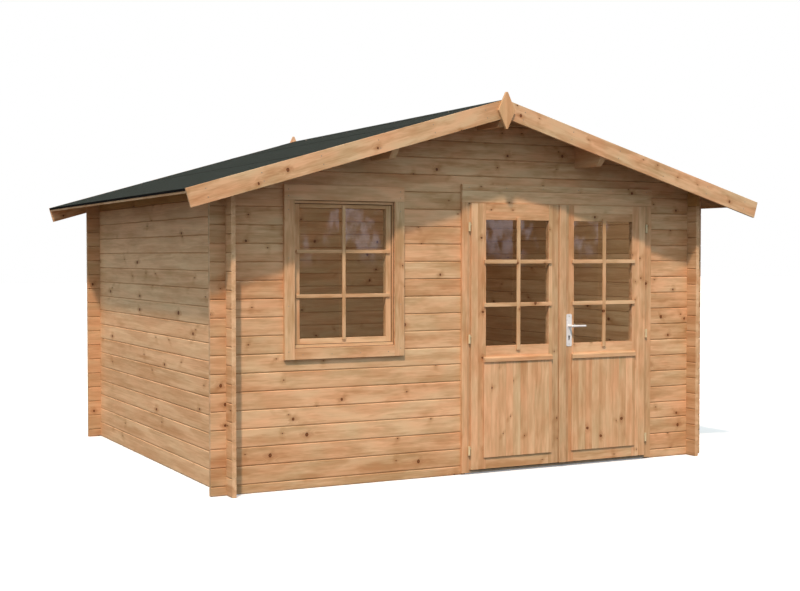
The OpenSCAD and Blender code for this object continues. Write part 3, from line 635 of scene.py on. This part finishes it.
# Rounded edges of boards, joinery and metal
soften(0.0016, "window_trim", "door_left_jamb", "door_right_jamb", "door_head",
       "door_cover_board", "left_leaf_frame", "right_leaf_frame", "left_leaf_panel", "right_leaf_panel",
       "left_leaf_drip", "right_leaf_drip", "meeting_strip", "front_left_barge", "front_right_barge",
       "back_left_barge", "back_right_barge", "left_eave_batten", "right_eave_batten", "ridge_purlin", "side_purlins")
soften(0.0030, "window_sash", "window_frame")
soften(0.0008, "front_finial", "back_finial")
soften(0.0006, "handle_plates", "door_threshold")

# Lattice bars on the faces of the sash and the leaves
BAR_ROUND = 0.0022
BAR_GAP = 0.0002
BAR_STEP = 0.001
LEAF_BAR_LAP = 0.017
WINDOW_BAR_REACH = 0.328
BAR_SPOT_Z = 1.3


def lattice(name, body, bar_w, bar_t, y_back, middle, x0, x1, z0, z1, levels):
    """One upright bar, and level bars a step behind its front on both sides of it."""
    half, front = bar_w / 2, y_back - bar_t
    upright = new_piece(name + "_upright_bar", *boxes([((middle - half, front, z0), (middle + half, y_back, z1))]),
                        None, body, "joinery_wood", BAR_ROUND)
    spans = []
    for z in levels:
        for low, high in ((x0, middle - half - BAR_GAP), (middle + half + BAR_GAP, x1)):
            spans.append(((low, front + BAR_STEP, z - half), (high, y_back, z + half)))
    level = new_piece(name + "_level_bars", *boxes(spans), None, body, "joinery_wood", BAR_ROUND)
    return upright, level


def leaf_sizes(pane_x):
    return dict(bar_w=0.027, bar_t=0.012, y_back=leaf_low.y - SEAT, middle=pane_x + PANE_W / 2,
                x0=pane_x - LEAF_BAR_LAP, x1=pane_x + PANE_W + LEAF_BAR_LAP, z0=0.825, z1=1.722,
                levels=(1.4245, 1.1345))


def bar_grain(axis, spot):
    """Grain of bars and strips along one axis near a spot."""
    order = {"X": (0, 2, 1), "Z": (2, 0, 1)}[axis]

    def grain(t, place, normal):
        u, v, w = (t.less(place[i], spot[i]) for i in order)
        number = t.math("FLOOR", t.math("DIVIDE", place[order[1]], 0.15))
        return u, v, w, t.math("ABSOLUTE", normal[order[0]]), number

    return grain


window_x = sum(TRIM_HOLE_X) / 2
window_sizes = dict(bar_w=0.023, bar_t=0.010, y_back=sash_low.y - SEAT, middle=window_x,
                    x0=window_x - WINDOW_BAR_REACH, x1=window_x + WINDOW_BAR_REACH, z0=0.930, z1=1.782,
                    levels=(1.491, 1.210))
for index, (name, body, sizes) in enumerate((("left_leaf", "left_leaf", leaf_sizes(left_pane_x)),
                                             ("right_leaf", "right_leaf", leaf_sizes(right_pane_x)),
                                             ("window", "cabin", window_sizes))):
    spot = (sizes["middle"], sizes["y_back"], BAR_SPOT_Z)
    for piece, axis in zip(lattice(name, body, **sizes), "ZX"):
        grain = bar_grain(axis, spot)
        piece.data.materials[0] = wood("bars_" + piece.name, grain, seed=701.0 + 17 * index, knots=0.10)

# Dark strips round the sash and inside the trim: painted shade in the gaps there
SASH_SHADE_LINE_W, SASH_SHADE_LINE_T = 0.0032, 0.0022
TRIM_SHADE_LINE_W, TRIM_SHADE_LINE_T = 0.0026, 0.0020


def ring_spans(low, high, width, y0, y1):
    (x0, z0), (x1, z1) = low, high
    inner0, inner1 = z0 + width, z1 - width
    return [((x0, y0, z0), (x1, y1, inner0)), ((x0, y0, inner1), (x1, y1, z1)),
            ((x0, y0, inner0), (x0 + width, y1, inner1)), ((x1 - width, y0, inner0), (x1, y1, inner1))]


grain = bar_grain("X", (window_x, -1.43, BAR_SPOT_Z))
shade_line_wood = wood("painted_shade_line", grain, seed=781.0, knots=0.0, bump=0.1, tones="bead")
spans = ring_spans((sash_low.x, sash_low.z), (sash_high.x, sash_high.z), SASH_SHADE_LINE_W,
                   sash_low.y - SASH_SHADE_LINE_T, sash_low.y)
spans += ring_spans(*zip(TRIM_HOLE_X, TRIM_HOLE_Z), TRIM_SHADE_LINE_W, wall_front - TRIM_SHADE_LINE_T, wall_front - HAIR)
new_piece("window_shade_lines", *boxes(spans), shade_line_wood, "cabin", "joinery_wood")

# Draught seals: in the frame over the leaves and beside them, and on the left leaf's edge where the leaves meet
SEAL_T = 0.0046
SEAL_END = 0.002
SEAL_RECESS = 0.001
HEAD_SEAL_UP = (0.0012, 0.0058)
HEAD_SEAL_REACH = 0.016
SEAL_SPOT = (0.6, -1.45, 1.0)
left_jamb, right_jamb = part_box("door_left_jamb"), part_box("door_right_jamb")
head_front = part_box("door_head")[0].y
seal_wood = wood("seal_strip", bar_grain("X", SEAL_SPOT), seed=791.0, knots=0.0)
low = (left_jamb[1].x - HEAD_SEAL_REACH, head_front + SEAL_RECESS, leaf_high.z + HEAD_SEAL_UP[0])
high = (right_jamb[0].x + HEAD_SEAL_REACH, leaf_high.y, leaf_high.z + HEAD_SEAL_UP[1])
new_piece("head_seal", *boxes([(low, high)]), seal_wood, "cabin", "joinery_wood")
jamb_wood = wood("jamb_strip", bar_grain("Z", SEAL_SPOT), seed=793.0, knots=0.0)
frame_x0, frame_x1 = leaf_low.x - LEAF_GAP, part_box("right_leaf_frame")[1].x + LEAF_GAP
seal_z0, seal_z1 = leaf_low.z + SEAL_END, leaf_high.z - SEAL_END
spans = []
for z0, z1 in zip([seal_z0] + [z + HINGE_ROOM for z in HINGE_Z], [z - HINGE_ROOM for z in HINGE_Z] + [seal_z1]):
    for x0, x1 in ((frame_x0 + SEAT, frame_x0 + SEAL_T), (frame_x1 - SEAL_T, frame_x1 - SEAT)):
        spans.append(((x0, left_jamb[0].y + SEAL_RECESS, z0), (x1, leaf_high.y, z1)))
new_piece("jamb_seals", *boxes(spans), jamb_wood, "cabin", "joinery_wood")
edge_wood = wood("edge_strip", bar_grain("Z", SEAL_SPOT), seed=795.0, knots=0.0, shades=[meeting])
low = (leaf_high.x + SEAT, leaf_low.y + 0.0015, seal_z0)
high = (leaf_high.x + SEAL_T, leaf_high.y - 0.004, seal_z1)
new_piece("meeting_seal", *boxes([(low, high)]), edge_wood, "left_leaf", "joinery_wood")


# Roof boards with V joints below
def slope_point(side, down, up, y):
    """A point on one roof side: down the slope from the ridge, up from the boards' underside."""
    x = down * math.cos(SLOPE) + up * math.sin(SLOPE)
    return Vector((side * x, y, RIDGE_Z - down * math.sin(SLOPE) + up * math.cos(SLOPE)))


deck_low, deck_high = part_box("right_deck")
deck_run = (deck_high.x - DECK_T * math.sin(SLOPE)) / math.cos(SLOPE)
deck_pitch = (deck_high.y - deck_low.y) / DECK_BOARDS


def slope_prisms(side, sections, downs):
    """Prisms that run down one roof side. A section lists (y, up), and downs(up) gives its two ends."""
    outlines = []
    for section in sections:
        rings = [[slope_point(side, downs(up)[end], up, y) for y, up in section] for end in (0, 1)]
        outlines.append(tuple(rings if side > 0 else reversed(rings)))
    return prisms(outlines)


def deck_sections():
    vee, gap = 0.003, 0.0004
    for k in range(DECK_BOARDS):
        y0 = deck_low.y + k * deck_pitch + (gap if k else 0.0)
        y1 = deck_low.y + (k + 1) * deck_pitch - (gap if k < DECK_BOARDS - 1 else 0.0)
        yield [(y0 + vee, 0.0), (y1 - vee, 0.0), (y1, vee), (y1, DECK_T), (y0, DECK_T), (y0, vee)]


for name, side in (("left_deck", -1), ("right_deck", 1)):
    mesh = slope_prisms(side, deck_sections(), lambda up: (-up * math.tan(SLOPE), deck_run))
    grain = on_slope(side, name, (deck_pitch, deck_low.y))
    material = wood("boards_" + name, grain, seed=761.0 + 50 * side, tones="deck")
    piece = new_piece(name + "_boards", *mesh, material, "cabin", "roof_board")
    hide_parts(name)

# Laps between the felt sheets, a felt cap over the ridge and their nails
FELT_LAPS = (0.62, 1.43)
LAP_RUN = 0.12
LAP_UNDER, LAP_OVER = ROOF_TOP - 0.0004, ROOF_TOP + 0.0012
CAP_RUN = 0.14
NAIL_PITCH = 0.116
nail_count = int((deck_high.y - deck_low.y - 0.06) / NAIL_PITCH)
nail_rows = [deck_low.y + 0.05 + NAIL_PITCH * k for k in range(nail_count)]


def across_slope(side, sections):
    """Prisms that run along one roof side from front to back. A section lists (down, up)."""
    outlines = []
    for section in sections:
        rings = [[slope_point(side, down, up, y) for down, up in section] for y in (deck_low.y, deck_high.y)]
        outlines.append(tuple(rings if side < 0 else reversed(rings)))
    return prisms(outlines)


for name, side in (("left", -1), ("right", 1)):
    laps = [((lap - LAP_RUN, LAP_UNDER), (lap, LAP_UNDER), (lap, LAP_OVER)) for lap in FELT_LAPS]
    new_piece(name + "_felt_laps", *across_slope(side, laps), felt, "cabin", "roof_felt")
    cap = ((-LAP_UNDER * math.tan(SLOPE), LAP_UNDER), (CAP_RUN, LAP_UNDER),
           (CAP_RUN, LAP_OVER), (-LAP_OVER * math.tan(SLOPE), LAP_OVER))
    new_piece(name + "_felt_cap", *across_slope(side, [cap]), felt, "cabin", "roof_felt")
    spots = [slope_point(side, CAP_RUN - 0.02, LAP_OVER - 0.0002, y) for y in nail_rows]
    out = (side * math.sin(SLOPE), 0.0, math.cos(SLOPE))
    nails = studs(spots, out, radius=0.0050, height=0.0008, sunk=0.0012, sides=8)
    new_piece(name + "_felt_nails", *nails, steel, "cabin", "hinge_steel")

# Screws through the boards of the roof edge, the trim, the threshold and the handle plates
BARGE_SCREW_DOWN = (0.16, 0.56, 0.96, 1.36, 1.76, 2.12)
BARGE_SCREW_UP = (ROOF_TOP - 0.032, ROOF_TOP - 0.084)
TRIM_SCREW_IN = 0.028
TRIM_SCREW_Z = (1.15, 1.45, 1.75)
TRIM_SCREW_X = (-1.30, -1.10, -0.90, -0.70)
COVER_SCREW_Z = 1.920
FORWARD, BACKWARD, UPWARD = (0, -1, 0), (0, 1, 0), (0, 0, 1)


def row(start, end, count):
    return [start + (end - start) * k / (count - 1) for k in range(count)]


heads = [slope_point(side, down, up, 0.0) for side in (-1, 1) for down in BARGE_SCREW_DOWN for up in BARGE_SCREW_UP]
for name, y, out in (("front_barge_screws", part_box("front_left_barge")[0].y, FORWARD),
                     ("back_barge_screws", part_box("back_left_barge")[1].y, BACKWARD)):
    screws = studs([(p.x, y, p.z) for p in heads], out, radius=0.0040, height=0.0003)
    new_piece(name, *screws, steel, "cabin", "hinge_steel")
trim_low, trim_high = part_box("window_trim")
heads = [(x, trim_low.y, z) for x in (trim_low.x + TRIM_SCREW_IN, trim_high.x - TRIM_SCREW_IN)
         for z in (trim_low.z + 0.05, *TRIM_SCREW_Z, trim_high.z - 0.03, trim_high.z - 0.07)]
heads += [(x, trim_low.y, trim_low.z + 0.030) for x in TRIM_SCREW_X]
cover_low, cover_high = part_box("door_cover_board")
heads += [(x, cover_low.y, COVER_SCREW_Z) for x in row(cover_low.x + 0.05, cover_high.x - 0.05, 6)]
new_piece("trim_screws", *studs(heads, FORWARD, radius=0.0034, height=0.0003), steel, "cabin", "hinge_steel")
sill_low, sill_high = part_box("door_threshold")
heads = [(x, sill_low.y + 0.02, sill_high.z) for x in row(sill_low.x + 0.07, sill_high.x - 0.07, 5)]
new_piece("threshold_screws", *studs(heads, UPWARD, radius=0.0045, height=0.0004), steel, "cabin",
          "threshold_metal")
plate_low, plate_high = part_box("handle_plates")
plate_x = (plate_low.x + plate_high.x) / 2
heads = [(plate_x, plate_low.y, z) for z in (plate_low.z + 0.016, plate_high.z - 0.016)]
new_piece("plate_screws", *studs(heads, FORWARD, radius=0.0038, height=0.0004), lock_steel, "right_leaf",
          "handle_metal")

# Lock cylinder in the keyhole, with a near-black box in each face as painted shade of a key slot
KEY_X, KEY_Z = 0.701, 0.903
KEYHOLE_R, KEYHOLE_FOOT_HALF, KEYHOLE_FOOT = 0.0085, 0.005, 0.0245
LOCK_CLEAR = 0.0006
SLOT_HALF, SLOT_DOWN, SLOT_UP, SLOT_HALF_T = 0.0007, 0.0052, 0.0034, 0.0002


def lock_outline(y):
    radius, half, foot = (size - LOCK_CLEAR for size in (KEYHOLE_R, KEYHOLE_FOOT_HALF, KEYHOLE_FOOT))
    turns = [math.radians(a) for a in range(-50, 231, 20)]
    ring = [(KEY_X + radius * math.cos(a), y, KEY_Z + radius * math.sin(a)) for a in turns]
    return ring + [(KEY_X - half, y, KEY_Z - foot), (KEY_X + half, y, KEY_Z - foot)]


lock_front, lock_back = plate_low.y + LOCK_CLEAR, plate_high.y - LOCK_CLEAR
new_piece("lock_cylinder", *prisms([(lock_outline(lock_back), lock_outline(lock_front))]),
          lock_steel, "right_leaf", "handle_metal")
slots = [((KEY_X - SLOT_HALF, y - SLOT_HALF_T, KEY_Z - SLOT_DOWN),
          (KEY_X + SLOT_HALF, y + SLOT_HALF_T, KEY_Z + SLOT_UP)) for y in (lock_front, lock_back)]
new_piece("key_slots", *boxes(slots), key_slot_shade, "right_leaf", "handle_metal")

# Floor: white to the camera and dull to all other light, so that little light bounces up from it
FLOOR_REACH = 60
floor_mesh = bpy.data.meshes.new("floor")
floor_mesh.from_pydata([(x * FLOOR_REACH, y * FLOOR_REACH, 0) for x, y in ((-1, -1), (1, -1), (1, 1), (-1, 1))],
                       [], [(0, 1, 2, 3)])
floor = bpy.data.objects.new("floor", floor_mesh)
bpy.context.scene.collection.objects.link(floor)
floor.location.z = -0.0006
floor_material, t, surface = new_material("floor_white")
rays = t.add("LightPath").outputs
dull = t.mix(rays["Is Glossy Ray"], (0.13, 0.125, 0.12, 1.0), (0.02, 0.02, 0.02, 1.0))
t.put(surface.inputs["Base Color"], t.mix(rays["Is Camera Ray"], dull, (0.92, 0.92, 0.92, 1.0)))
surface.inputs["Roughness"].default_value = 1.0
surface.inputs["Specular IOR Level"].default_value = 0.0
surface.inputs["Emission Color"].default_value = (0.90, 0.95, 1.0, 1.0)
t.put(surface.inputs["Emission Strength"], t.times(rays["Is Camera Ray"], 0.24))
floor_mesh.materials.append(floor_material)

# White behind the part, an even fill for its shade, and a cloudy sky for the panes to mirror
world = bpy.data.worlds.new("studio")
bpy.context.scene.world = world
world.use_nodes = True
world.node_tree.nodes.clear()
t = Tree(world.node_tree)
rays = t.add("LightPath").outputs
white = t.add("Background", Color=WHITE, Strength=1.0)
heading = t.split(t.add("TexCoord").outputs["Generated"])
even = t.times(t.span(heading[0], -1.0, 1.0, 0.91, 0.73), t.span(heading[2], 0.0, 1.0, 0.80, 1.32))
fill = t.add("Background", Color=(0.88, 0.975, 1.0, 1.0), Strength=even)
across, slice_at, up = 150.0, 22.27, 62.0
net = t.vector(t.times(heading[0], across), slice_at, t.times(heading[2], up))
cloud = t.math("ADD", t.times(t.noise(net, 1.0, 4.0, 0.6), 0.6), t.times(t.noise(net, 0.3, 1.0), 0.4))
sky = t.times(t.span(cloud, 0.50, 0.62, 0.02, 1.22, smooth=True), t.span(heading[2], -0.014, 0.014, smooth=True))
clouds = t.add("Background", Color=(0.84, 0.84, 1.0, 1.0), Strength=sky)
mirror = t.add("MixShader")
for index, item in enumerate((rays["Is Glossy Ray"], fill.outputs[0], clouds.outputs[0])):
    t.put(mirror.inputs[index], item)
backdrop = t.add("MixShader")
for index, item in enumerate((rays["Is Camera Ray"], mirror.outputs[0], white.outputs[0])):
    t.put(backdrop.inputs[index], item)
t.put(t.add("OutputWorld").inputs["Surface"], backdrop.outputs[0])


def new_light(name, kind, energy, colour):
    data = bpy.data.lights.new(name, kind)
    data.energy = energy
    data.color = colour
    light = bpy.data.objects.new(name, data)
    bpy.context.scene.collection.objects.link(light)
    return light


# A warm sun from above on the front left
sun = new_light("sun", "SUN", 2.8, (1.0, 0.745, 0.59))
sun.data.angle = math.radians(3.0)
sun.rotation_mode = "QUATERNION"
sun.rotation_quaternion = Vector((0.72, 1.0, -1.63)).to_track_quat("-Z", "Y")

# A weak lamp inside lights the back wall that shows through the panes
lamp = new_light("room_lamp", "AREA", 18.0, (1.0, 0.98, 0.89))
lamp.data.shape = "RECTANGLE"
lamp.data.size, lamp.data.size_y = 3.0, 1.4
lamp.location = (0.0, -1.25, 1.15)
lamp.rotation_euler = (math.radians(90.0), 0.0, 0.0)
lamp.visible_camera = False

# Camera where the photo was taken from
camera_data = bpy.data.cameras.new("camera")
camera_data.lens = 58.35
camera_data.sensor_width = 36.0
camera_data.clip_end = 200.0
camera = bpy.data.objects.new("camera", camera_data)
camera.location = (-4.4996, -8.9161, 1.4613)
camera.rotation_euler = (math.radians(88.264), 0.0, math.radians(-27.52))
bpy.context.scene.collection.objects.link(camera)
bpy.context.scene.camera = camera
bpy.context.scene.view_settings.view_transform = "Standard"
